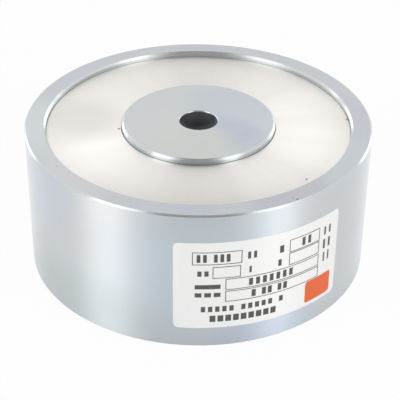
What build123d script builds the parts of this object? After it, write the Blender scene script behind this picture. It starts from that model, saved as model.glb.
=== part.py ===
from build123d import *
import os
from math import atan2, cos, degrees, hypot, radians, sin

# Round holding electromagnet for direct current, lying on its back with its pole faces up.
# Sizes are in millimetres. The origin is the centre of the back face, +Z points out of the
# pole faces, and the connecting cable enters the rim at +Y.

# Pot: the outer pole, turned from bar
pot_diameter = 100.0
pot_height = 43.0
rim_width = 6.0
base_thickness = 11.0
pot_edge_break = 0.45
pot_mouth_chamfer = 0.6

# Core: the inner pole, pressed into the base of the pot
core_diameter = 44.5
core_edge_chamfer = 0.6
spigot_diameter = 30.0
spigot_chamfer = 0.5
spigot_clearance = 0.02
through_bore = 11.0
bore_chamfer = 0.2

# Closing ring: the non-magnetic plate between the poles
ring_recess = 1.6
ring_thickness = 3.0
ring_core_gap = 0.1
ring_pot_gap = 0.1
ring_edge_break = 0.12

# Coil: a former wound with enamelled wire and taped, then potted
former_core_gap = 0.4
former_wall = 1.6
former_pot_gap = 1.0
lower_flange = 2.6
upper_flange = 1.6
flange_edge_break = 0.4
winding_margin = 2.5
tape_thickness = 0.5
resin_cover = 1.4
pour_gap = 0.05

# Leads from the coil to the terminals
lead_diameter = 1.6
lead_bend = 1.2
lead_x = 13.0
lead_wall_gap = 1.8
lead_end_inset = 0.4
lead_rise = 3.0
lead_clearance = 0.2
sleeve_wall = 0.45
sleeve_bore_gap = 0.05
sleeve_hole_gap = 0.1
sleeve_overhang = 1.5

# Terminal pocket and cable channel, milled in the back face
pocket_depth = 7.5
pocket_width = 32.0
pocket_rim = 6.0
pocket_corner = 4.0
wiring_room = 4.8
channel_width = 10.0
channel_depth = 7.0

# Terminal block and its two brass bars
block_width = 29.2
block_length = 7.6
block_thickness = 4.0
block_edge_radius = 0.8
block_back_gap = 3.6
barrier_height = 2.3
barrier_wall = 0.8
middle_barrier = 1.6
terminal_pitch = 9.6
bar_width = 6.0
bar_thickness = 0.8
bar_tail = 3.0
bar_inset = 0.5

# Screws and washers of the terminals
screw_diameter = 3.0
head_diameter = 5.4
head_height = 1.8
head_break = 0.3
slot_width = 0.8
slot_depth = 0.9
thread_fit = 0.03
shank_clearance = 0.1
washer_diameter = 5.6
washer_thickness = 0.5
terminal_screw_reach = 2.4
block_screw_reach = 2.7
block_screw_pitch = 22.8
hole_end_room = 0.3

# Rating label, a thin self-adhesive plate bent round the pot
label_width = 50.0
label_height = 28.0
label_bottom = 6.6
label_angle = 291.3
label_thickness = 0.15
label_corner = 1.5

# Levels and radii that follow from the sizes above
pot_radius = pot_diameter / 2
bore_radius = pot_radius - rim_width
core_radius = core_diameter / 2
ring_top = pot_height - ring_recess
ring_bottom = ring_top - ring_thickness
former_inner = core_radius + former_core_gap
former_tube = former_inner + former_wall
flange_radius = bore_radius - former_pot_gap
former_top = ring_bottom - resin_cover
winding_bottom = base_thickness + lower_flange
winding_top = former_top - upper_flange
winding_radius = flange_radius - winding_margin
tape_radius = winding_radius + pour_gap + tape_thickness
lead_radius = lead_diameter / 2
lead_slot = lead_diameter + 2 * lead_clearance
sleeve_inner = lead_radius + sleeve_bore_gap
sleeve_outer = sleeve_inner + sleeve_wall
sleeve_hole = sleeve_outer + sleeve_hole_gap
terminal_x = terminal_pitch / 2
screw_radius = screw_diameter / 2
pocket_outer = pot_radius - pocket_rim
block_end = pocket_outer - wiring_room
block_start = block_end - block_length
block_middle = (block_start + block_end) / 2
block_face = pocket_depth - block_thickness
pocket_inner = block_start - block_back_gap
lead_y = pocket_inner + lead_wall_gap
lead_hole_radius = hypot(lead_x, lead_y)
lead_side = atan2(lead_y, lead_x)
rising_lead_radius = tape_radius + pour_gap + lead_radius

os.makedirs("parts", exist_ok=True)

# Pot body: a flat-bottomed cup whose rim is the outer pole
with BuildPart() as pot_body:
    with BuildSketch():
        Circle(pot_radius)
    extrude(amount=pot_height)
    with BuildSketch(Plane.XY.offset(base_thickness)):
        Circle(bore_radius)
    extrude(amount=pot_height - base_thickness, mode=Mode.SUBTRACT)
    with BuildSketch():
        Circle(spigot_diameter / 2 + spigot_clearance)
    extrude(amount=base_thickness, mode=Mode.SUBTRACT)
    rim_edges = pot_body.edges().filter_by(GeomType.CIRCLE).group_by(Axis.Z)[-1].sort_by(SortBy.RADIUS)
    back_edges = pot_body.edges().filter_by(GeomType.CIRCLE).group_by(Axis.Z)[0].sort_by(SortBy.RADIUS)
    chamfer(rim_edges[0], pot_mouth_chamfer)
    chamfer([rim_edges[-1], back_edges[-1]], pot_edge_break)
    chamfer(back_edges[0], spigot_chamfer)
    # Pocket for the terminal block, with the cutter's radius left in its corners
    with BuildSketch():
        with Locations((0, (pocket_inner + pocket_outer) / 2)):
            RectangleRounded(pocket_width, pocket_outer - pocket_inner, pocket_corner)
    extrude(amount=pocket_depth, mode=Mode.SUBTRACT)
    # Channel that lets the cable out through the rim
    with BuildSketch():
        with Locations((0, pocket_outer - pocket_corner)):
            Rectangle(channel_width, pot_diameter, align=(Align.CENTER, Align.MIN))
    extrude(amount=channel_depth, mode=Mode.SUBTRACT)
    # Two lead holes and two tapped holes in the web above the pocket
    with BuildSketch(Plane.XY.offset(pocket_depth)):
        with Locations((-lead_x, lead_y), (lead_x, lead_y)):
            Circle(sleeve_hole)
    extrude(amount=base_thickness - pocket_depth, mode=Mode.SUBTRACT)
    with BuildSketch(Plane.XY.offset(pocket_depth)):
        with Locations((-block_screw_pitch / 2, block_middle), (block_screw_pitch / 2, block_middle)):
            Circle(screw_radius + thread_fit)
    extrude(amount=block_screw_reach + hole_end_room, mode=Mode.SUBTRACT)
pot_body.part.label = "pot_body"
export_step(pot_body.part, "parts/pot_body.step")

# Pole core: shoulder on the floor of the pot, spigot through its base, bored for the fixing
with BuildPart() as pole_core:
    with BuildSketch():
        Circle(spigot_diameter / 2)
    extrude(amount=base_thickness)
    with BuildSketch(Plane.XY.offset(base_thickness)):
        Circle(core_radius)
    extrude(amount=pot_height - base_thickness)
    with BuildSketch():
        Circle(through_bore / 2)
    extrude(amount=pot_height, mode=Mode.SUBTRACT)
    face_edges = pole_core.edges().filter_by(GeomType.CIRCLE).group_by(Axis.Z)[-1].sort_by(SortBy.RADIUS)
    tail_edges = pole_core.edges().filter_by(GeomType.CIRCLE).group_by(Axis.Z)[0].sort_by(SortBy.RADIUS)
    chamfer(face_edges[-1], core_edge_chamfer)
    chamfer(tail_edges[-1], spigot_chamfer)
    chamfer([face_edges[0], tail_edges[0]], bore_chamfer)
pole_core.part.label = "pole_core"
export_step(pole_core.part, "parts/pole_core.step")

# Closing ring: turned aluminium plate, bedded on the resin below the pole faces
with BuildPart() as closing_ring:
    with BuildSketch(Plane.XY.offset(ring_bottom)):
        Circle(bore_radius - ring_pot_gap)
        Circle(core_radius + ring_core_gap, mode=Mode.SUBTRACT)
    extrude(amount=ring_thickness)
    chamfer(closing_ring.edges().group_by(Axis.Z)[-1], ring_edge_break)
closing_ring.part.label = "closing_ring"
export_step(closing_ring.part, "parts/closing_ring.step")

# Coil former: tube with two flanges, with a way down for each lead
with BuildPart() as coil_former:
    with BuildSketch(Plane.XY.offset(base_thickness)):
        Circle(former_tube)
    extrude(amount=former_top - base_thickness)
    with BuildSketch(Plane.XY.offset(base_thickness)):
        Circle(flange_radius)
    extrude(amount=lower_flange)
    with BuildSketch(Plane.XY.offset(winding_top)):
        Circle(flange_radius)
    extrude(amount=upper_flange)
    rims = coil_former.edges().filter_by(GeomType.CIRCLE).group_by(SortBy.RADIUS)[-1]
    chamfer(rims, flange_edge_break)
    with BuildSketch(Plane.XY.offset(base_thickness)):
        Circle(former_inner)
    extrude(amount=former_top - base_thickness, mode=Mode.SUBTRACT)
    with BuildSketch(Plane.XY.offset(base_thickness)):
        with Locations((-lead_x, lead_y)):
            Circle(sleeve_hole)
    extrude(amount=lower_flange, mode=Mode.SUBTRACT)
    # Groove under the flange for the outer lead, and the notch where it comes down
    with BuildSketch(Plane.XY.offset(base_thickness)):
        with PolarLocations(lead_hole_radius - lead_slot / 2, 1, degrees(lead_side)):
            Rectangle(flange_radius, lead_slot, align=(Align.MIN, Align.CENTER))
    extrude(amount=lead_slot, mode=Mode.SUBTRACT)
    with BuildSketch(Plane.XY.offset(base_thickness)):
        with PolarLocations(rising_lead_radius - lead_slot / 2, 1, degrees(lead_side)):
            Rectangle(former_pot_gap + winding_margin, lead_slot, align=(Align.MIN, Align.CENTER))
    extrude(amount=lower_flange, mode=Mode.SUBTRACT)
coil_former.part.label = "coil_former"
export_step(coil_former.part, "parts/coil_former.step")

# Winding: all the turns of enamelled copper wire as one body
with BuildPart() as coil_winding:
    with BuildSketch(Plane.XY.offset(winding_bottom)):
        Circle(winding_radius)
        Circle(former_tube + pour_gap, mode=Mode.SUBTRACT)
    extrude(amount=winding_top - winding_bottom)
coil_winding.part.label = "coil_winding"
export_step(coil_winding.part, "parts/coil_winding.step")

# Tape: polyester tape lapped round the outer layer
with BuildPart() as winding_tape:
    with BuildSketch(Plane.XY.offset(winding_bottom)):
        Circle(tape_radius)
        Circle(winding_radius + pour_gap, mode=Mode.SUBTRACT)
    extrude(amount=winding_top - winding_bottom)
winding_tape.part.label = "winding_tape"
export_step(winding_tape.part, "parts/winding_tape.step")

# Potting resin: fills the pot round the coil and beds the closing ring
with BuildPart() as potting_resin:
    with BuildSketch(Plane.XY.offset(base_thickness)):
        Circle(bore_radius - pour_gap)
        Circle(flange_radius + pour_gap, mode=Mode.SUBTRACT)
    extrude(amount=former_top - base_thickness)
    with BuildSketch(Plane.XY.offset(winding_bottom)):
        Circle(bore_radius - pour_gap)
        Circle(tape_radius + pour_gap, mode=Mode.SUBTRACT)
    extrude(amount=winding_top - winding_bottom)
    with BuildSketch(Plane.XY.offset(former_top)):
        Circle(bore_radius - pour_gap)
        Circle(core_radius + pour_gap, mode=Mode.SUBTRACT)
    extrude(amount=resin_cover)
    with BuildSketch(Plane.XY.offset(base_thickness)):
        with PolarLocations(rising_lead_radius - lead_slot / 2, 1, degrees(lead_side)):
            Rectangle(former_pot_gap + winding_margin, lead_slot, align=(Align.MIN, Align.CENTER))
    extrude(amount=lower_flange + lead_rise + lead_clearance, mode=Mode.SUBTRACT)
potting_resin.part.label = "potting_resin"
export_step(potting_resin.part, "parts/potting_resin.step")

# Leads: the inner end of the winding drops straight into the pocket, and the outer end
# comes down the notch and runs in the groove first. Both turn across the tail of their bar.
tail_level = block_face + pour_gap + lead_radius
groove_level = base_thickness + lead_clearance + lead_radius
lead_stop = terminal_x - bar_width / 2 + lead_end_inset
rise_x = rising_lead_radius * cos(lead_side)
rise_y = rising_lead_radius * sin(lead_side)
start_lead_route = [
    (-lead_x, lead_y, winding_bottom - pour_gap),
    (-lead_x, lead_y, tail_level),
    (-lead_stop, lead_y, tail_level),
]
finish_lead_route = [
    (rise_x, rise_y, winding_bottom + lead_rise),
    (rise_x, rise_y, groove_level),
    (lead_x, lead_y, groove_level),
    (lead_x, lead_y, tail_level),
    (lead_stop, lead_y, tail_level),
]
for lead_name, lead_route in (("start_lead", start_lead_route), ("finish_lead", finish_lead_route)):
    with BuildPart() as lead:
        with BuildLine() as lead_path:
            FilletPolyline(*lead_route, radius=lead_bend)
        with BuildSketch(Plane(origin=lead_path.line @ 0, z_dir=lead_path.line % 0)):
            Circle(lead_radius)
        sweep()
    lead.part.label = lead_name
    export_step(lead.part, f"parts/{lead_name}.step")

# Sleeves: insulating tubes that line the lead holes
start_sleeve_top = winding_bottom - lead_clearance
finish_sleeve_top = groove_level - lead_bend - pour_gap
sleeve_bottom = pocket_depth - sleeve_overhang
for sleeve_name, sleeve_x, sleeve_top in (
    ("start_lead_sleeve", -lead_x, start_sleeve_top),
    ("finish_lead_sleeve", lead_x, finish_sleeve_top),
):
    with BuildPart() as sleeve:
        with BuildSketch(Plane.XY.offset(sleeve_bottom)):
            with Locations((sleeve_x, lead_y)):
                Circle(sleeve_outer)
                Circle(sleeve_inner, mode=Mode.SUBTRACT)
        extrude(amount=sleeve_top - sleeve_bottom)
    sleeve.part.label = sleeve_name
    export_step(sleeve.part, f"parts/{sleeve_name}.step")

# Terminal block: moulded slab screwed up against the web, with barriers between the poles
outer_barrier_x = terminal_x + bar_width / 2 + thread_fit + barrier_wall / 2
with BuildPart() as terminal_block:
    with BuildSketch(Plane.XY.offset(block_face)):
        with Locations((0, block_middle)):
            RectangleRounded(block_width, block_length, block_edge_radius)
    extrude(amount=block_thickness)
    with BuildSketch(Plane.XY.offset(block_face - barrier_height)):
        with Locations((0, block_middle)):
            Rectangle(middle_barrier, block_length)
        with Locations((-outer_barrier_x, block_middle), (outer_barrier_x, block_middle)):
            Rectangle(barrier_wall, block_length)
    extrude(amount=barrier_height)
    with BuildSketch(Plane.XY.offset(block_face)):
        with Locations((-block_screw_pitch / 2, block_middle), (block_screw_pitch / 2, block_middle)):
            Circle(screw_radius + shank_clearance)
    extrude(amount=block_thickness, mode=Mode.SUBTRACT)
    with BuildSketch(Plane.XY.offset(block_face)):
        with Locations((-terminal_x, block_middle), (terminal_x, block_middle)):
            Circle(screw_radius + shank_clearance)
    extrude(amount=terminal_screw_reach + hole_end_room, mode=Mode.SUBTRACT)
terminal_block.part.label = "terminal_block"
export_step(terminal_block.part, "parts/terminal_block.step")

# One brass bar, clamp washer and cheese-head screw for each pole
bar_level = block_face - bar_thickness
washer_level = bar_level - washer_thickness
terminal_head_level = washer_level - head_height
for pole, pole_x in (("plus", terminal_x), ("minus", -terminal_x)):
    with BuildPart() as terminal_bar:
        with BuildSketch(Plane.XY.offset(bar_level)):
            with Locations((pole_x, block_start - bar_tail)):
                Rectangle(bar_width, bar_tail + block_length - bar_inset, align=(Align.CENTER, Align.MIN))
            with Locations((pole_x, block_middle)):
                Circle(screw_radius + thread_fit, mode=Mode.SUBTRACT)
        extrude(amount=bar_thickness)
    terminal_bar.part.label = f"terminal_bar_{pole}"
    export_step(terminal_bar.part, f"parts/terminal_bar_{pole}.step")

    with BuildPart() as clamp_washer:
        with BuildSketch(Plane.XY.offset(washer_level)):
            with Locations((pole_x, block_middle)):
                Circle(washer_diameter / 2)
                Circle(screw_radius + shank_clearance, mode=Mode.SUBTRACT)
        extrude(amount=washer_thickness)
    clamp_washer.part.label = f"clamp_washer_{pole}"
    export_step(clamp_washer.part, f"parts/clamp_washer_{pole}.step")

    with BuildPart() as terminal_screw:
        with BuildSketch(Plane.XY.offset(terminal_head_level)):
            with Locations((pole_x, block_middle)):
                Circle(head_diameter / 2)
        extrude(amount=head_height)
        chamfer(terminal_screw.edges().group_by(Axis.Z)[0], head_break)
        with BuildSketch(Plane.XY.offset(washer_level)):
            with Locations((pole_x, block_middle)):
                Circle(screw_radius)
        extrude(amount=block_face + terminal_screw_reach - washer_level)
        with BuildSketch(Plane.XY.offset(terminal_head_level)):
            with Locations((pole_x, block_middle)):
                Rectangle(slot_width, 2 * head_diameter)
        extrude(amount=slot_depth, mode=Mode.SUBTRACT)
    terminal_screw.part.label = f"terminal_screw_{pole}"
    export_step(terminal_screw.part, f"parts/terminal_screw_{pole}.step")

# Two screws that hold the terminal block to the web of the pot
block_head_level = block_face - head_height
for side, side_x in (("left", -block_screw_pitch / 2), ("right", block_screw_pitch / 2)):
    with BuildPart() as block_screw:
        with BuildSketch(Plane.XY.offset(block_head_level)):
            with Locations((side_x, block_middle)):
                Circle(head_diameter / 2)
        extrude(amount=head_height)
        chamfer(block_screw.edges().group_by(Axis.Z)[0], head_break)
        with BuildSketch(Plane.XY.offset(block_face)):
            with Locations((side_x, block_middle)):
                Circle(screw_radius)
        extrude(amount=block_thickness + block_screw_reach)
        with BuildSketch(Plane.XY.offset(block_head_level)):
            with Locations((side_x, block_middle)):
                Rectangle(2 * head_diameter, slot_width)
        extrude(amount=slot_depth, mode=Mode.SUBTRACT)
    block_screw.part.label = f"block_screw_{side}"
    export_step(block_screw.part, f"parts/block_screw_{side}.step")

# Rating label: its outline is cut square to its own middle, and its width runs along the wall
half_angle = label_width / pot_radius / 2
label_side = radians(label_angle)
label_middle = label_bottom + label_height / 2
label_plane = Plane(
    origin=(0, 0, label_middle),
    x_dir=(-sin(label_side), cos(label_side), 0),
    z_dir=(cos(label_side), sin(label_side), 0),
)
with BuildPart() as rating_label:
    with BuildSketch(Plane.XY.offset(label_bottom)):
        Circle(pot_radius + label_thickness)
        Circle(pot_radius, mode=Mode.SUBTRACT)
    extrude(amount=label_height)
    with BuildSketch(label_plane):
        RectangleRounded(2 * pot_radius * sin(half_angle), label_height, label_corner)
    extrude(amount=2 * pot_radius, mode=Mode.INTERSECT)
rating_label.part.label = "rating_label"
export_step(rating_label.part, "parts/rating_label.step")
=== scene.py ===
from math import cos, pi, radians, sin

import bpy
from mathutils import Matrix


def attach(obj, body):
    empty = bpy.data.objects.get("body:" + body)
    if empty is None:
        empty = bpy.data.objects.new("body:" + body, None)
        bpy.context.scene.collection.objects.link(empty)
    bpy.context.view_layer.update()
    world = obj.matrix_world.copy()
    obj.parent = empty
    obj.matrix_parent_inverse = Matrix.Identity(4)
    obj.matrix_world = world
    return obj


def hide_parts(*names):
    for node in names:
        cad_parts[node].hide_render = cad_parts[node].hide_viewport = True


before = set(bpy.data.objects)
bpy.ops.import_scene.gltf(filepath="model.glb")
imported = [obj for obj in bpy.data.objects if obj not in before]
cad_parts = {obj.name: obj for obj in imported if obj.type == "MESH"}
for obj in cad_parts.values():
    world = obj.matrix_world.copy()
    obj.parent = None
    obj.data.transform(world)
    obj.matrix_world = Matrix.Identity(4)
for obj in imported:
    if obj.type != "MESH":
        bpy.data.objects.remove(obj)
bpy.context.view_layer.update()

# Pot: the outer pole, a flat-bottomed cup turned from mild steel bar. The terminal pocket, the
# cable channel and the lead and screw holes are then machined in its back, and the whole cup is
# zinc plated, which leaves a blue-grey metal with a faint lavender and green bloom.
pot_radius = 0.050
pot_height = 0.043
mouth_radius = 0.044
floor_height = 0.011
edge_break = 0.00045
pole_chamfer = 0.0006
spigot_hole = 0.01502
spigot_chamfer = 0.0005
pot_profile = [
    (spigot_hole + spigot_chamfer, 0.0),
    (pot_radius - edge_break, 0.0),
    (pot_radius, edge_break),
    (pot_radius, pot_height - edge_break),
    (pot_radius - edge_break, pot_height),
    (mouth_radius + pole_chamfer, pot_height),
    (mouth_radius, pot_height - pole_chamfer),
    (mouth_radius, floor_height),
    (spigot_hole, floor_height),
    (spigot_hole, spigot_chamfer),
]


def turn(name, profile, segments):
    """Carries a ring of edges round the corners (radius, height) of a closed profile."""
    radius, height = profile[0]
    bpy.ops.mesh.primitive_circle_add(vertices=segments, radius=radius, location=(0, 0, 0))
    piece = bpy.context.object
    piece.name = name
    bpy.ops.object.mode_set(mode="EDIT")
    bpy.ops.transform.translate(value=(0, 0, height))
    for next_radius, next_height in profile[1:] + profile[:1]:
        bpy.ops.mesh.extrude_region_move(
            TRANSFORM_OT_translate={"value": (0, 0, next_height - height)})
        spread = next_radius / radius
        bpy.ops.transform.resize(
            value=(spread, spread, 1), center_override=(0, 0, next_height))
        radius, height = next_radius, next_height
    bpy.ops.mesh.select_all(action="SELECT")
    bpy.ops.mesh.remove_doubles(threshold=2e-6)
    bpy.ops.mesh.normals_make_consistent(inside=False)
    bpy.ops.object.mode_set(mode="OBJECT")
    return piece


def cutter_box(middle_y, size):
    """A box cutter that is centred on the back face, so that half of it reaches into the pot."""
    bpy.ops.mesh.primitive_cube_add(size=1, location=(0, middle_y, 0))
    box = bpy.context.object
    box.scale = size
    bpy.ops.object.transform_apply(location=True, scale=True)
    return box


def cut(piece, cutter):
    """Takes the cutter's shape out of the piece, and the cutter away."""
    bpy.context.view_layer.objects.active = piece
    modifier = piece.modifiers.new("cut", "BOOLEAN")
    modifier.object = cutter
    modifier.solver = "EXACT"
    bpy.ops.object.modifier_apply(modifier="cut")
    bpy.data.objects.remove(cutter)


def soften(piece, width, segments=2):
    """Rounds the sharp edges and shades flat faces flat, as on a deburred machined part."""
    bpy.ops.object.select_all(action="DESELECT")
    piece.select_set(True)
    bpy.context.view_layer.objects.active = piece
    bevel = piece.modifiers.new("edges", "BEVEL")
    bevel.width = width
    bevel.segments = segments
    bevel.limit_method = "ANGLE"
    bevel.angle_limit = radians(25)
    bpy.ops.object.modifier_apply(modifier="edges")
    bpy.ops.object.shade_smooth_by_angle(angle=radians(40))
    piece.modifiers.new("flats", "WEIGHTED_NORMAL").keep_sharp = True
    bpy.ops.object.modifier_apply(modifier="flats")


pot = turn("turned_pot", pot_profile, 288)

# the milled pocket, with the cutter's own radius left in its corners
pocket_middle, pocket_width, pocket_breadth, pocket_depth = 0.036, 0.032, 0.016, 0.0075
mill_radius = 0.004
pocket_cutter = cutter_box(pocket_middle, (pocket_width, pocket_breadth, 2 * pocket_depth))
bpy.ops.object.mode_set(mode="EDIT")
bpy.ops.mesh.select_mode(type="EDGE")
bpy.ops.object.mode_set(mode="OBJECT")
for edge in pocket_cutter.data.edges:
    ends = [pocket_cutter.data.vertices[v].co for v in edge.vertices]
    edge.select = abs(ends[0].z - ends[1].z) > pocket_depth
bpy.ops.object.mode_set(mode="EDIT")
bpy.ops.mesh.bevel(offset=mill_radius, segments=10, affect="EDGES")
bpy.ops.object.mode_set(mode="OBJECT")
cut(pot, pocket_cutter)

# the channel that leads the cable out through the rim
channel_middle, channel_width, channel_length, channel_depth = 0.049, 0.010, 0.018, 0.007
cut(pot, cutter_box(channel_middle, (channel_width, channel_length, 2 * channel_depth)))

# two holes for the leads, and two blind tapped holes for the block's screws, all drilled from
# inside the pocket. Each pair: x on either side, y, radius, top
drill_start = 0.006
lead_holes = (0.013, 0.0298, 0.0014, 0.012)
tapped_holes = (0.0114, 0.0354, 0.00153, 0.0105)
for x, y, radius, top in (lead_holes, tapped_holes):
    for side in (-1, 1):
        bpy.ops.mesh.primitive_cylinder_add(
            vertices=40, radius=radius, depth=top - drill_start,
            location=(side * x, y, (top + drill_start) / 2))
        drill = bpy.context.object
        bpy.ops.object.transform_apply(location=True)
        cut(pot, drill)

soften(pot, 0.00008)


def node(tree, kind, inputs=None, **settings):
    """Adds a shader node. Each input is a value or the socket that feeds it."""
    made = tree.nodes.new(kind)
    for name, value in settings.items():
        setattr(made, name, value)
    for socket, value in (inputs or {}).items():
        if isinstance(value, bpy.types.NodeSocket):
            tree.links.new(value, made.inputs[socket])
        else:
            made.inputs[socket].default_value = value
    return made


def maths(tree, operation, *values):
    """Adds a Math node and returns its output."""
    made = node(tree, "ShaderNodeMath", dict(enumerate(values)), operation=operation)
    return made.outputs[0]


def blend(tree, factor, first, second):
    """Mixes two colours and returns the result."""
    made = node(tree, "ShaderNodeMix", {0: factor, 6: first, 7: second}, data_type="RGBA")
    return made.outputs[2]


def noise(tree, place, scale, detail, **more):
    """Adds a noise on a place and returns its value."""
    inputs = {"Vector": place, "Scale": scale, "Detail": detail, **more}
    return node(tree, "ShaderNodeTexNoise", inputs).outputs[0]


def own_place(tree):
    """The piece's own coordinates, in metres."""
    return node(tree, "ShaderNodeTexCoord").outputs["Object"]


def spot(tree, place, centre, radius, ragged=0.0):
    """A soft-edged round mark about a point of the piece, 1 at its middle."""
    away = node(tree, "ShaderNodeVectorMath", {0: place, 1: centre}, operation="DISTANCE")
    reach = maths(tree, "ADD", away.outputs["Value"], ragged)
    return node(tree, "ShaderNodeMapRange", {0: reach, 1: radius, 2: radius * 0.3},
                interpolation_type="SMOOTHSTEP").outputs[0]


def fleck(tree, place, colour, flecks):
    """Adds small dark grains of dirt and nicks, each with its middle, radius and tint."""
    for centre, radius, tint in flecks:
        colour = blend(tree, spot(tree, place, centre, radius), colour, tint)
    return colour


def relief(tree, surface, strength, depth, height):
    """Feeds a height into the surface's normal."""
    bump = node(tree, "ShaderNodeBump", {"Strength": strength, "Distance": depth, "Height": height})
    tree.links.new(bump.outputs[0], surface.inputs["Normal"])


def start_material(name):
    """Starts a material, and returns it with its tree and its surface."""
    material = bpy.data.materials.new(name)
    material.use_nodes = True
    return material, material.node_tree, material.node_tree.nodes["Principled BSDF"]


def stretch_shine(surface, metallic, stretch):
    """Makes the surface metallic, and draws its highlights out across the turning marks."""
    surface.inputs["Metallic"].default_value = metallic
    surface.inputs["Anisotropic"].default_value = stretch
    surface.inputs["Anisotropic Rotation"].default_value = 0.25


def effect(name, inputs, outputs):
    """Starts a node group that several materials use, with its named values and outputs."""
    tree = bpy.data.node_groups.new(name, "ShaderNodeTree")
    for label, value in inputs.items():
        socket = tree.interface.new_socket(label, in_out="INPUT", socket_type="NodeSocketFloat")
        socket.default_value = value
    for label in outputs:
        tree.interface.new_socket(label, in_out="OUTPUT", socket_type="NodeSocketFloat")
    given = tree.nodes.new("NodeGroupInput").outputs
    return tree, given, tree.nodes.new("NodeGroupOutput").inputs


# turning marks: rings on a flat face and lines round a wall, because the distance from the axis
# and the height add up to one coordinate that changes across the tool's path on both
height_share = 1.37
broad_share = 0.09
turning, given, out = effect(
    "turning_marks", {"Pitch": 0.0004, "Chatter": 0.5}, ["Height", "Shade"])
axes = node(turning, "ShaderNodeSeparateXYZ", {0: own_place(turning)}).outputs
from_axis = maths(turning, "SQRT", maths(
    turning, "ADD", maths(turning, "POWER", axes[0], 2.0), maths(turning, "POWER", axes[1], 2.0)))
path = maths(turning, "ADD", from_axis, maths(turning, "MULTIPLY", axes[2], height_share))
turns = maths(turning, "DIVIDE", path, given["Pitch"])
fine = node(turning, "ShaderNodeTexNoise", {
    "W": turns, "Scale": 1.0, "Detail": 3.0, "Roughness": 0.7}, noise_dimensions="1D").outputs[0]
broad = node(turning, "ShaderNodeTexNoise", {
    "W": maths(turning, "MULTIPLY", turns, broad_share), "Scale": 1.0, "Detail": 2.0},
    noise_dimensions="1D").outputs[0]
height = maths(turning, "ADD", fine, maths(turning, "MULTIPLY", broad, given["Chatter"]))
middle = maths(turning, "MULTIPLY_ADD", given["Chatter"], 0.5, 0.5)
turning.links.new(height, out["Height"])
turning.links.new(maths(turning, "SUBTRACT", height, middle), out["Shade"])

# handling marks: a few hair scratches in two directions, and a soft cloudiness
handling, given, out = effect(
    "handling_marks", {"Fewness": 0.75, "Amount": 0.5}, ["Scratch", "Cloud"])
place = own_place(handling)
hair_fineness = 6500.0
hair_sharpness = 22.0
scratch = 0.0
for turn_by, hair_length in ((0.7, 90.0), (2.3, 140.0)):
    drawn = node(handling, "ShaderNodeMapping", {
        "Vector": place, "Rotation": (0.0, 0.0, turn_by),
        "Scale": (hair_length, hair_fineness, hair_fineness)}).outputs[0]
    hairs = maths(handling, "SUBTRACT", noise(handling, drawn, 1.0, 0.0), given["Fewness"])
    scratch = maths(
        handling, "MAXIMUM", maths(handling, "MULTIPLY", hairs, hair_sharpness), scratch)
scratch = maths(handling, "MULTIPLY", maths(handling, "MINIMUM", scratch, 1.0), given["Amount"])
handling.links.new(scratch, out["Scratch"])
handling.links.new(noise(handling, place, 32.0, 3.0), out["Cloud"])

# tints of the plating
lavender = (0.520, 0.536, 0.588, 1)
sea_green = (0.531, 0.573, 0.598, 1)
pale_blue = (0.598, 0.630, 0.650, 1)
smoke = (0.506, 0.511, 0.547, 1)
rubbed_zinc = (0.74, 0.77, 0.79, 1)
scratched_zinc = (0.46, 0.48, 0.51, 1)


def zinc_plate(name, colour, blooms_and_painted_light, pitch, grain, roughness, stretch, flecks=()):
    """Bright zinc on turned steel. Each patch is a middle, reach and tint; some are blooms of the
    plating, some painted light and shade.
    """
    material, tree, metal = start_material(name)
    place = own_place(tree)
    marks = node(tree, "ShaderNodeGroup", {"Pitch": pitch, "Chatter": 0.6},
                 node_tree=turning).outputs
    wear = node(tree, "ShaderNodeGroup", {"Fewness": 0.80, "Amount": 0.3},
                node_tree=handling).outputs
    ragged = maths(tree, "MULTIPLY", maths(tree, "SUBTRACT", wear["Cloud"], 0.5), 0.03)
    for centre, reach, tint in blooms_and_painted_light:
        colour = blend(tree, spot(tree, place, centre, reach, ragged), colour, tint)
    rubbed = maths(tree, "MULTIPLY_ADD", marks["Shade"], 0.18, 0.05)
    colour = blend(tree, rubbed, colour, rubbed_zinc)
    colour = blend(tree, wear["Scratch"], colour, scratched_zinc)
    tree.links.new(fleck(tree, place, colour, flecks), metal.inputs["Base Color"])
    rough = maths(tree, "ADD", maths(tree, "MULTIPLY_ADD", wear["Cloud"], 0.08, roughness - 0.04),
                  maths(tree, "MULTIPLY", wear["Scratch"], 0.1))
    tree.links.new(rough, metal.inputs["Roughness"])
    height = maths(tree, "SUBTRACT", marks["Height"], maths(tree, "MULTIPLY", wear["Scratch"], 0.5))
    relief(tree, metal, grain, 0.00001, height)
    stretch_shine(metal, 1.0, stretch)
    return material


zinc_on_rim = zinc_plate("zinc_on_rim", (0.538, 0.564, 0.588, 1), [
    ((-0.0465, -0.004, pot_height), 0.022, pale_blue),
    ((-0.033, -0.033, pot_height), 0.016, (0.586, 0.593, 0.603, 1)),
    ((0.046, -0.004, pot_height), 0.018, lavender),
    ((-0.002, 0.047, pot_height), 0.016, lavender),
    ((-0.040, 0.024, pot_height), 0.014, (0.538, 0.554, 0.606, 1)),
    ((0.0, -0.047, pot_height), 0.012, lavender),
    ((0.0235, -0.0407, pot_height), 0.017, smoke),
    ((0.042, -0.022, pot_height), 0.012, sea_green),
], pitch=0.0004, grain=0.2, roughness=0.24, stretch=0.5, flecks=[
    ((0.02606, -0.04144, pot_height), 0.00045, (0.16, 0.15, 0.14, 1)),
    ((0.0249, -0.0409, pot_height), 0.0003, (0.3, 0.3, 0.3, 1)),
    ((-0.0385, -0.0262, pot_height), 0.0003, (0.33, 0.33, 0.34, 1)),
    ((0.0122, 0.0456, pot_height), 0.0003, (0.35, 0.35, 0.36, 1)),
])
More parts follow.
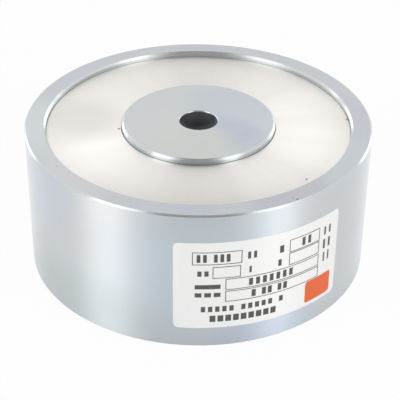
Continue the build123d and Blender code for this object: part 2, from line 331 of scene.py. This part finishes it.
zinc_on_wall = zinc_plate("zinc_on_wall", (0.695, 0.720, 0.740, 1), [
    # painted light: this patch makes the front of the wall lighter and bluer
    ((0.003, -0.0498, 0.024), 0.034, (0.680, 0.762, 0.830, 1)),
    ((-0.0419, -0.0272, 0.036), 0.015, (0.690, 0.725, 0.785, 1)),
    ((-0.0235, -0.0441, 0.044), 0.013, (0.715, 0.735, 0.730, 1)),
    ((0.0203, -0.0457, 0.002), 0.024, (0.618, 0.695, 0.805, 1)),
    ((0.0457, -0.0203, 0.002), 0.014, (0.645, 0.720, 0.695, 1)),
    ((-0.030, -0.040, 0.004), 0.022, (0.645, 0.705, 0.718, 1)),
    # painted shade: this patch darkens the wall towards its foot, all round
    ((0.0, 0.0, -0.030), 0.075, (0.47, 0.495, 0.51, 1)),
], pitch=0.0005, grain=0.12, roughness=0.47, stretch=0.89)
# the chamfers, in a lighter zinc that paints a highlight line along them, with painted shade on the
# front edge and a painted highlight round the back of the mouth
zinc_edges_painted_light = zinc_plate("zinc_edges_painted_light", (0.590, 0.618, 0.637, 1), [
    ((0.0, -0.050, pot_height), 0.030, (0.56, 0.605, 0.61, 1)),
    ((0.0, 0.044, pot_height), 0.042, (0.73, 0.76, 0.78, 1)),
], pitch=0.0003, grain=0.1, roughness=0.20, stretch=0.5)
# the walls of the recess and of the core, in a darker zinc that paints the shade in the recess,
# with painted light on the far wall at the back
zinc_recess_painted_shade = zinc_plate("zinc_recess_painted_shade", (0.515, 0.540, 0.555, 1), [
    ((0.0, 0.044, 0.042), 0.042, (0.62, 0.65, 0.66, 1)),
], pitch=0.0004, grain=0.2, roughness=0.32, stretch=0.5)


def share_faces(piece, faces_up, inner, chamfered, other, is_inner):
    """Gives each face the zinc of the surface it belongs to, by how it faces and where it is."""
    for material in (faces_up, inner, chamfered, other):
        piece.data.materials.append(material)
    for face in piece.data.polygons:
        flat = abs(face.normal.z)
        if flat > 0.95:
            face.material_index = 0
        elif flat > 0.3:
            face.material_index = 2
        else:
            face.material_index = 1 if is_inner(face.center) else 3


share_faces(pot, zinc_on_rim, zinc_recess_painted_shade, zinc_edges_painted_light, zinc_on_wall, lambda middle:
            middle.xy.length < mouth_radius + 0.0001 and middle.z > floor_height)
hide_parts("pot_body")
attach(pot, "root")

# Core: the inner pole, turned from the same bar with a spigot that is pressed into the pot's
# base. Its face is finished level with the rim, and a plain hole for the fixing screw runs through.
core_radius = 0.02225
spigot_radius = 0.015
bore_radius = 0.0055
bore_chamfer = 0.0002
core_profile = [
    (bore_radius + bore_chamfer, 0.0),
    (spigot_radius - spigot_chamfer, 0.0),
    (spigot_radius, spigot_chamfer),
    (spigot_radius, floor_height),
    (core_radius, floor_height),
    (core_radius, pot_height - pole_chamfer),
    (core_radius - pole_chamfer, pot_height),
    (bore_radius + bore_chamfer, pot_height),
    (bore_radius, pot_height - bore_chamfer),
    (bore_radius, bore_chamfer),
]
core = turn("turned_core", core_profile, 192)
soften(core, 0.00007)
zinc_on_core = zinc_plate("zinc_on_core", (0.576, 0.602, 0.602, 1), [
    ((0.014, 0.007, pot_height), 0.019, (0.536, 0.577, 0.625, 1)),
    ((0.0106, -0.0066, pot_height), 0.011, (0.485, 0.515, 0.600, 1)),
    ((-0.004, -0.014, pot_height), 0.016, (0.588, 0.604, 0.588, 1)),
], pitch=0.0003, grain=0.15, roughness=0.24, stretch=0.5)
zinc_in_bore = zinc_plate("zinc_in_bore", (0.64, 0.655, 0.685, 1), [
    # painted reflection: a dark patch on the far side of the bore, just under its mouth
    ((0.0, 0.0055, 0.0427), 0.0050, (0.22, 0.226, 0.235, 1)),
], pitch=0.0006, grain=0.5, roughness=0.52, stretch=0.2)
share_faces(core, zinc_on_core, zinc_in_bore, zinc_edges_painted_light, zinc_recess_painted_shade, lambda middle:
            middle.xy.length < bore_radius + 0.0001)
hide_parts("pole_core")
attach(core, "root")

# Coil former: moulded in glass-filled nylon, a tube with two flanges that the wire is wound on.
# It drops over the core onto the pot's floor, with a groove and a notch for the outer lead.
def grain(tree, scale, detail, stretch=(1.0, 1.0, 1.0)):
    """Fine noise on the piece's own coordinates, stretched along its grain."""
    drawn = node(tree, "ShaderNodeMapping", {"Vector": own_place(tree), "Scale": stretch})
    return noise(tree, drawn.outputs[0], scale, detail)


def lines(tree, axis, pitch, contrast=1.0):
    """Even lines across one axis, for wire, braid and the edges of tape."""
    along = node(tree, "ShaderNodeSeparateXYZ", {0: own_place(tree)}).outputs[axis]
    wave = maths(tree, "SINE", maths(tree, "MULTIPLY", along, 2 * pi / pitch))
    return maths(tree, "MULTIPLY_ADD", wave, contrast / 2, 0.5)


def mix(tree, first, second, share, rest):
    """Adds shares of two patterns."""
    return maths(tree, "MULTIPLY_ADD", first, share, maths(tree, "MULTIPLY", second, rest))


def finish(solids, name, mask, dark, light, roughness, height, depth, metallic=0.0, coat=0.0):
    """Gives the solids a material whose colour, gloss and relief follow two patterns."""
    material, tree, surface = start_material(name)
    pattern = mask(tree)
    tree.links.new(blend(tree, pattern, dark, light), surface.inputs["Base Color"])
    rough = maths(tree, "MULTIPLY_ADD", pattern, 0.12, roughness - 0.06)
    tree.links.new(rough, surface.inputs["Roughness"])
    relief(tree, surface, 0.6, depth, height(tree))
    surface.inputs["Metallic"].default_value = metallic
    surface.inputs["Coat Weight"].default_value = coat
    for solid in solids:
        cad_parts[solid].data.materials.clear()
        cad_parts[solid].data.materials.append(material)


finish(["coil_former"], "natural_nylon",
       mask=lambda tree: grain(tree, 900.0, 4.0, (1.0, 1.0, 0.3)),
       dark=(0.66, 0.62, 0.52, 1), light=(0.78, 0.75, 0.66, 1), roughness=0.48,
       height=lambda tree: grain(tree, 2500.0, 3.0), depth=0.00004)

# Winding: enamelled copper wire in close layers between the former's flanges. The turns show as
# lines round the coil, and the enamel as a clear red-brown gloss.
wire_pitch = 0.0005
finish(["coil_winding"], "enamelled_copper",
       mask=lambda tree: maths(
           tree, "MULTIPLY", lines(tree, 2, wire_pitch),
           maths(tree, "MULTIPLY_ADD", grain(tree, 300.0, 3.0), 0.5, 0.6)),
       dark=(0.36, 0.12, 0.05, 1), light=(0.80, 0.38, 0.18, 1), roughness=0.30,
       height=lambda tree: lines(tree, 2, wire_pitch), depth=0.00015, metallic=1.0, coat=0.6)

# Tape: yellow polyester film lapped round the outer layer, which holds the last turn and keeps
# the resin from lifting the wire.
tape_lap = 0.0095
finish(["winding_tape"], "polyester_tape",
       mask=lambda tree: mix(
           tree, lines(tree, 2, tape_lap, 3.0), grain(tree, 260.0, 4.0), 0.35, 0.6),
       dark=(0.62, 0.40, 0.06, 1), light=(0.86, 0.66, 0.18, 1), roughness=0.32,
       height=lambda tree: lines(tree, 2, tape_lap, 3.0), depth=0.00006, coat=0.3)

# Leads: stranded wire in white silicone insulation, soldered to the coil's ends and led down
# through the base of the pot to the terminal bars.
finish(["start_lead", "finish_lead"], "lead_insulation",
       mask=lambda tree: grain(tree, 1400.0, 3.0),
       dark=(0.62, 0.60, 0.55, 1), light=(0.76, 0.745, 0.70, 1), roughness=0.46,
       height=lambda tree: grain(tree, 3500.0, 2.0), depth=0.00002)

# Potting resin: black filled epoxy, poured round the taped coil and over the former, where it
# sets hard and beds the closing ring. It has fine filler grains and a few small bubbles.
finish(["potting_resin"], "potting_epoxy",
       mask=lambda tree: maths(tree, "POWER", grain(tree, 700.0, 5.0), 2.0),
       dark=(0.018, 0.018, 0.020, 1), light=(0.10, 0.10, 0.105, 1), roughness=0.24,
       height=lambda tree: grain(tree, 180.0, 4.0), depth=0.0002)

# Closing ring: a plate of turned aluminium that closes the coil's space. It is faced on the
# lathe, left uncoated, and bedded on the resin 1.6 mm below the pole faces.
ring_top = pot_height - 0.0016
ring_thickness = 0.003
ring_break = 0.00012
ring_inner = core_radius + 0.0001
ring_outer = mouth_radius - 0.00003
ring_profile = [
    (ring_inner, ring_top - ring_thickness),
    (ring_outer, ring_top - ring_thickness),
    (ring_outer, ring_top - ring_break),
    (ring_outer - ring_break, ring_top),
    (ring_inner + ring_break, ring_top),
    (ring_inner, ring_top - ring_break),
]
ring = turn("faced_ring", ring_profile, 256)
soften(ring, 0.00003)

aluminium, tree, metal = start_material("faced_aluminium")
place = own_place(tree)
marks = node(tree, "ShaderNodeGroup", {"Pitch": 0.0005, "Chatter": 0.8}, node_tree=turning).outputs
wear = node(tree, "ShaderNodeGroup", {"Fewness": 0.80, "Amount": 0.35}, node_tree=handling).outputs
colour = blend(tree, wear["Cloud"], (0.87, 0.845, 0.805, 1), (0.935, 0.91, 0.88, 1))
bright_turns = maths(tree, "MULTIPLY_ADD", marks["Shade"], 0.35, 0.1)
colour = blend(tree, bright_turns, colour, (0.96, 0.95, 0.93, 1))
# painted reflection: a fan of faint darker rays along directions from the axis, which stands in for
# the streaks of the faced ring's shine
flat_place = node(tree, "ShaderNodeVectorMath", {0: place, 1: (1, 1, 0)}, operation="MULTIPLY")
direction = node(tree, "ShaderNodeVectorMath", {0: flat_place.outputs[0]}, operation="NORMALIZE")
rays = noise(tree, direction.outputs[0], 5.0, 4.0, Roughness=0.6)
painted_streaks = node(tree, "ShaderNodeMapRange", {0: rays, 1: 0.40, 2: 0.64}).outputs[0]
painted_streaks = maths(tree, "MULTIPLY", painted_streaks, 0.30)
colour = blend(tree, painted_streaks, colour, (0.80, 0.775, 0.74, 1))
colour = blend(tree, wear["Scratch"], colour, (0.66, 0.65, 0.64, 1))
# a duller patch on the left, and painted shade in a band beside the rim that darkens towards the
# recess wall
dull_and_shade = (0.745, 0.725, 0.69, 1)
colour = blend(tree, spot(tree, place, (-0.034, 0.003, ring_top), 0.017), colour, dull_and_shade)
outward = node(tree, "ShaderNodeVectorMath", {0: place, 1: (0, 0, ring_top)}, operation="DISTANCE")
rim_shade = node(tree, "ShaderNodeMapRange", {0: outward.outputs["Value"], 1: 0.033, 2: 0.0455},
                interpolation_type="SMOOTHSTEP").outputs[0]
colour = blend(tree, maths(tree, "MULTIPLY", rim_shade, 0.68), colour, dull_and_shade)
colour = fleck(tree, place, colour, [
    ((0.0432, -0.0105, ring_top), 0.0006, (0.12, 0.11, 0.10, 1)),
    ((0.02939, -0.02898, ring_top), 0.0005, (0.13, 0.12, 0.11, 1)),
    ((0.0435, 0.0040, ring_top), 0.0007, (0.35, 0.34, 0.33, 1)),
    ((-0.0229, -0.0027, ring_top), 0.0006, (0.30, 0.29, 0.28, 1)),
    ((-0.0386, -0.0100, ring_top), 0.0022, (0.80, 0.78, 0.75, 1)),
])
tree.links.new(colour, metal.inputs["Base Color"])
rough = maths(tree, "MULTIPLY_ADD", wear["Cloud"], 0.08, 0.30)
tree.links.new(rough, metal.inputs["Roughness"])
relief(tree, metal, 0.45, 0.00001, marks["Height"])
stretch_shine(metal, 1.0, 0.85)
ring.data.materials.append(aluminium)
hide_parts("closing_ring")
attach(ring, "root")

# Sleeves: short lengths of varnished glass braid pushed into the two lead holes, so that the
# edges of the steel can't cut the leads.
braid_pitch = 0.0006
finish(["start_lead_sleeve", "finish_lead_sleeve"], "glass_sleeving",
       mask=lambda tree: maths(
           tree, "MULTIPLY", lines(tree, 2, braid_pitch), lines(tree, 0, braid_pitch)),
       dark=(0.60, 0.52, 0.34, 1), light=(0.86, 0.80, 0.62, 1), roughness=0.42,
       height=lambda tree: lines(tree, 2, braid_pitch), depth=0.00005, coat=0.4)

# Terminal block: moulded in black thermoset, with barriers that keep the two poles apart. Its
# moulded edges are slightly round, and its surface has a fine grain.
finish(["terminal_block"], "block_thermoset",
       mask=lambda tree: grain(tree, 1800.0, 4.0),
       dark=(0.030, 0.030, 0.032, 1), light=(0.085, 0.085, 0.09, 1), roughness=0.46,
       height=lambda tree: grain(tree, 3000.0, 3.0), depth=0.00004)

# Terminal bars: punched from brass strip, drawn along its length and slightly tarnished. Each
# lies in its own well of the block, and carries one lead and one supply wire.
drawn_brass = (9000.0, 500.0, 9000.0)
finish(["terminal_bar_plus", "terminal_bar_minus"], "punched_brass",
       mask=lambda tree: mix(
           tree, grain(tree, 1.0, 3.0, drawn_brass), grain(tree, 160.0, 3.0), 0.6, 0.4),
       dark=(0.52, 0.36, 0.13, 1), light=(0.84, 0.67, 0.33, 1), roughness=0.30,
       height=lambda tree: grain(tree, 1.0, 3.0, drawn_brass), depth=0.00002, metallic=1.0)

# Washers and screws: small zinc-plated steel hardware. Two slotted cheese-head screws clamp the
# supply wires under their washers, and two more hold the block to the pot.
hardware = ["clamp_washer_plus", "clamp_washer_minus", "terminal_screw_plus",
            "terminal_screw_minus", "block_screw_left", "block_screw_right"]
finish(hardware, "screw_zinc",
       mask=lambda tree: mix(
           tree, grain(tree, 1500.0, 4.0), grain(tree, 220.0, 2.0), 0.7, 0.3),
       dark=(0.42, 0.44, 0.47, 1), light=(0.72, 0.75, 0.78, 1), roughness=0.30,
       height=lambda tree: grain(tree, 2600.0, 3.0), depth=0.00003, metallic=1.0)

# the edges of the block and its fittings, broken by moulding, punching and turning
edge_widths = {"terminal_block": 0.00025, "terminal_bar_plus": 0.0001,
               "terminal_bar_minus": 0.0001, **dict.fromkeys(hardware, 0.00006)}
for solid, width in edge_widths.items():
    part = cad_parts[solid]
    part.modifiers.new("joined", "WELD").merge_threshold = 0.000002
    broken = part.modifiers.new("edges", "BEVEL")
    broken.width = width
    broken.segments = 2
    broken.limit_method = "ANGLE"
    broken.angle_limit = radians(40)

# Rating label: white polyester film with rounded corners, cut flat, printed and then bent round
# the wall, where its own adhesive holds it.
label_width = 0.050
label_height = 0.028
label_corner = 0.0015
label_turn = radians(291.3)
label_middle = 0.0066 + label_height / 2
film_thickness = 0.00011


def wrap(sheet, inner, thickness):
    """Gives a flat sheet its thickness and bends it round the pot where the label sits."""
    strip = 0.00104
    bpy.ops.object.select_all(action="DESELECT")
    sheet.select_set(True)
    bpy.context.view_layer.objects.active = sheet
    bpy.ops.object.mode_set(mode="EDIT")
    for step in range(-24, 25):
        bpy.ops.mesh.select_all(action="SELECT")
        bpy.ops.mesh.bisect(plane_co=(step * strip, 0, 0), plane_no=(1, 0, 0))
    bpy.ops.object.mode_set(mode="OBJECT")
    solid = sheet.modifiers.new("film", "SOLIDIFY")
    solid.thickness = thickness
    solid.offset = 1
    bpy.ops.object.modifier_apply(modifier="film")
    for vertex in sheet.data.vertices:
        outer = inner + vertex.co.z
        along = vertex.co.x / pot_radius + label_turn
        vertex.co = (outer * cos(along), outer * sin(along), label_middle + vertex.co.y)
    sheet.data.update()


bpy.ops.mesh.primitive_plane_add(size=1, location=(0, 0, 0))
label = bpy.context.object
label.name = "label_film"
label.scale = (label_width, label_height, 1)
bpy.ops.object.transform_apply(scale=True)
bpy.ops.object.mode_set(mode="EDIT")
bpy.ops.mesh.select_all(action="SELECT")
bpy.ops.mesh.bevel(offset=label_corner, segments=8, affect="VERTICES")
bpy.ops.object.mode_set(mode="OBJECT")
wrap(label, pot_radius, film_thickness)

film, tree, plastic = start_material("label_film")
wear = node(tree, "ShaderNodeGroup", {"Fewness": 0.80, "Amount": 0.1}, node_tree=handling).outputs
white = blend(tree, wear["Cloud"], (0.895, 0.89, 0.885, 1), (0.92, 0.915, 0.91, 1))
tree.links.new(white, plastic.inputs["Base Color"])
rough = maths(tree, "MULTIPLY_ADD", wear["Cloud"], 0.08, 0.43)
tree.links.new(rough, plastic.inputs["Roughness"])
stretch_shine(plastic, 0.25, 0.85)
label.data.materials.append(film)
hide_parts("rating_label")
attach(label, "root")

# Print on the label: plain fields and rule boxes in grey and orange ink, laid on the film before
# it is bent. The sizes are in millimetres from the label's middle.
ink_inner = pot_radius + 0.000105
ink_thickness = 0.000025
rule_width = 0.00022
# each box: left, right, bottom, top
ink_boxes = [
    (-19.96, -6.64, 7.0, 11.1),
    (-14.5, -6.9, 2.5, 6.3),
    (7.1, 17.4, 6.8, 10.9),
    (7.1, 17.4, 2.6, 6.6),
    (-11.0, 17.5, -1.5, 2.2),
    (-11.0, 17.6, -5.4, -1.8),
]
# each row of blocks: left, right, bottom, top, the inked share of each place, the groups
ink_rows = [
    (18.5, 22.4, 7.7, 10.3, 0.34, [2]),
    (18.4, 22.4, 3.2, 6.2, 0.40, [2]),
    (18.7, 22.2, -1.2, 1.8, 0.32, [2]),
    (10.7, 14.7, 7.6, 10.2, 0.50, [2]),
    (3.4, 6.0, 7.6, 9.9, 0.48, [1]),
    (3.1, 5.4, 3.4, 5.5, 0.44, [1]),
    (-5.5, -2.2, 8.0, 10.2, 0.50, [2]),
    (-5.0, -3.5, 3.4, 5.5, 0.42, [1]),
    (-18.9, -15.2, 3.3, 5.0, 0.60, [2]),
    (-19.1, -9.5, 7.8, 10.3, 0.58, [2, 3]),
    (-5.0, 8.9, -0.8, 1.5, 0.56, [7]),
    (-4.0, 7.1, -4.7, -2.4, 0.66, [1, 2, 2]),
    (-17.9, 6.1, -8.6, -6.8, 0.60, [5, 5, 1]),
    (-15.4, 3.9, -12.0, -9.9, 0.74, [9]),
]
group_gap = 0.7


def plate(left, right, bottom, top):
    """Adds a flat rectangle to the sheet being edited, and leaves it selected."""
    bpy.ops.mesh.select_all(action="DESELECT")
    middle = ((left + right) / 2000, (bottom + top) / 2000, 0)
    bpy.ops.mesh.primitive_plane_add(size=1, location=middle)
    bpy.ops.transform.resize(
        value=((right - left) / 1000, (top - bottom) / 1000, 1), center_override=middle)


bpy.ops.mesh.primitive_plane_add(size=1, location=(0, 0, 0))
grey_print = bpy.context.object
grey_print.name = "label_print_grey"
bpy.ops.object.mode_set(mode="EDIT")
bpy.ops.mesh.delete(type="VERT")
bpy.ops.mesh.select_mode(type="FACE")
for box in ink_boxes:
    plate(*box)
    bpy.ops.mesh.inset(thickness=rule_width)
    bpy.ops.mesh.delete(type="FACE")
for left, right, bottom, top, ink, groups in ink_rows:
    pitch = (right - left) / (sum(groups) + group_gap * (len(groups) - 1))
    for count in groups:
        for _ in range(count):
            plate(left + (1 - ink) / 2 * pitch, left + (1 + ink) / 2 * pitch, bottom, top)
            left += pitch
        left += group_gap * pitch
# the sign for direct current: a full line over three short ones
sign_left, sign_right, dash = -19.2, -12.3, 1.8
plate(sign_left, sign_right, -0.9, 0.5)
for step in range(3):
    left = sign_left + step * 2.55
    plate(left, left + dash, -3.6, -2.2)
bpy.ops.object.mode_set(mode="OBJECT")
wrap(grey_print, ink_inner, ink_thickness)

field_middle, field_size, field_corner = (0.018, -0.0092, 0), (0.0096, 0.0072, 1), 0.0008
bpy.ops.mesh.primitive_plane_add(size=1, location=field_middle)
orange_print = bpy.context.object
orange_print.name = "label_print_orange"
orange_print.scale = field_size
bpy.ops.object.transform_apply(location=True, scale=True)
bpy.ops.object.mode_set(mode="EDIT")
bpy.ops.mesh.select_all(action="SELECT")
bpy.ops.mesh.bevel(offset=field_corner, segments=5, affect="VERTICES")
bpy.ops.object.mode_set(mode="OBJECT")
wrap(orange_print, ink_inner, ink_thickness)

for sheet, name, dark, light in (
    (grey_print, "grey_ink", (0.060, 0.058, 0.055, 1), (0.10, 0.097, 0.093, 1)),
    (orange_print, "orange_ink", (0.76, 0.112, 0.014, 1), (0.82, 0.138, 0.02, 1)),
):
    ink, tree, plastic = start_material(name)
    screen = noise(tree, own_place(tree), 1600.0, 2.0)
    tree.links.new(blend(tree, screen, dark, light), plastic.inputs["Base Color"])
    rough = maths(tree, "MULTIPLY_ADD", screen, 0.15, 0.35)
    tree.links.new(rough, plastic.inputs["Roughness"])
    sheet.data.materials.append(ink)
    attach(sheet, "root")

# Studio: a white sheet of paper under the magnet, soft boxes round it and two grey cards, which
# the bright metal mirrors, and a camera at the photograph's angle.
world = bpy.data.worlds.new("studio")
bpy.context.scene.world = world
world.use_nodes = True
tree = world.node_tree
tree.nodes["Background"].inputs["Color"].default_value = (1, 1, 1, 1)
sky_seen, sky_on_matt = 1.0, 0.62
rays = node(tree, "ShaderNodeLightPath").outputs
mirrored = maths(tree, "ADD", rays["Is Glossy Ray"], rays["Is Transmission Ray"])
seen = maths(tree, "MINIMUM", maths(tree, "ADD", rays["Is Camera Ray"], mirrored), 1.0)
strength = node(tree, "ShaderNodeMix", {0: seen, 2: sky_on_matt, 3: sky_seen}).outputs[0]
tree.links.new(strength, tree.nodes["Background"].inputs["Strength"])

# the paper glows for the camera and, by half, in the metal, and is plain white paper to the rest
bpy.ops.mesh.primitive_plane_add(size=8, location=(0, 0, -0.00005))
floor = bpy.context.object
floor.name = "floor"
paper_seen, paper_mirrored = 0.94, 0.47
paper = bpy.data.materials.new("white_paper")
paper.use_nodes = True
tree = paper.node_tree
tree.nodes.remove(tree.nodes["Principled BSDF"])
rays = node(tree, "ShaderNodeLightPath").outputs
mirrored = maths(tree, "ADD", rays["Is Glossy Ray"], rays["Is Transmission Ray"])
share = mix(tree, rays["Is Camera Ray"], mirrored, paper_seen, paper_mirrored)
# under the magnet the paper gets only the light that reaches it through the openings
from_axis = node(tree, "ShaderNodeVectorMath", {0: own_place(tree)}, operation="LENGTH")
open_floor = node(tree, "ShaderNodeMapRange", {
    0: from_axis.outputs["Value"], 1: 0.0470, 2: 0.0495}).outputs[0]
share = maths(tree, "MINIMUM", maths(tree, "MULTIPLY", share, open_floor), paper_seen)
matt = node(tree, "ShaderNodeBsdfDiffuse", {"Color": (0.9, 0.9, 0.9, 1)}).outputs[0]
glow = node(tree, "ShaderNodeEmission", {"Color": (1, 1, 1, 1), "Strength": 1.0}).outputs[0]
mixed = node(tree, "ShaderNodeMixShader", {0: share, 1: matt, 2: glow}).outputs[0]
tree.links.new(mixed, tree.nodes["Material Output"].inputs["Surface"])
floor.data.materials.append(paper)


def aim(thing, azimuth, elevation, distance):
    """Sets a lamp or card facing the magnet's middle. Azimuth 0 is the camera's side, and a
    positive one is to its right."""
    side, rise = radians(azimuth), radians(elevation)
    thing.location = (distance * sin(side) * cos(rise), -distance * cos(side) * cos(rise),
                      distance * sin(rise) + 0.02)
    thing.rotation_euler = (pi / 2 - rise, 0, side)


# each lamp: azimuth, elevation, width, height, radiance
lamps = {
    "softbox_right": (50, 20, 0.30, 0.75, 2.1),
    "softbox_left": (-56, 20, 0.42, 0.75, 1.98),
    "upper_box_right": (58, 54, 0.45, 0.35, 0.6),
    "upper_box_left": (-60, 54, 0.50, 0.35, 0.55),
    "softbox_back_right": (143, 33, 0.35, 0.30, 0.7),
    "low_strip_right": (138, 10, 0.62, 0.26, 1.2),
    "softbox_back_left": (-140, 37, 0.40, 0.33, 1.0),
    "low_strip_left": (-138, 10, 0.62, 0.26, 1.05),
    "fill_right": (55, 25, 0.60, 0.60, 0.8),
}
for name, (azimuth, elevation, width, height, radiance) in lamps.items():
    data = bpy.data.lights.new(name, "AREA")
    data.shape = "RECTANGLE"
    data.size = width
    data.size_y = height
    data.energy = radiance * pi * width * height
    lamp = bpy.data.objects.new(name, data)
    bpy.context.scene.collection.objects.link(lamp)
    aim(lamp, azimuth, elevation, 0.9)
    # the fill lights the matt surfaces, and the metal doesn't mirror it
    lamp.visible_glossy = name != "fill_right"

# the cards, out of the camera's sight: azimuth, elevation, distance, width, height, grey
cards = {
    "grey_card_front": (0, 42, 0.95, 0.95, 1.0, 0.50),
    "grey_card_top": (0, 90, 1.0, 0.9, 0.9, 0.22),
}
for name, (azimuth, elevation, distance, width, height, grey) in cards.items():
    bpy.ops.mesh.primitive_plane_add(size=1, location=(0, 0, 0))
    board = bpy.context.object
    board.name = name
    board.scale = (width, height, 1)
    aim(board, azimuth, elevation, distance)
    board.visible_camera = False
    board.visible_shadow = False
    board.visible_diffuse = False
    material, tree, surface = start_material(name)
    surface.inputs["Base Color"].default_value = (grey, grey, grey, 1)
    surface.inputs["Roughness"].default_value = 0.9
    board.data.materials.append(material)

camera_data = bpy.data.cameras.new("camera")
camera_data.lens = 113.537
camera_data.sensor_width = 36
camera = bpy.data.objects.new("camera", camera_data)
bpy.context.scene.collection.objects.link(camera)
camera.location = (0, -0.31817, 0.22279)
camera.rotation_euler = (radians(56.9058), radians(-0.4934), radians(0.2012))
bpy.context.scene.camera = camera
bpy.context.scene.view_settings.view_transform = "Standard"
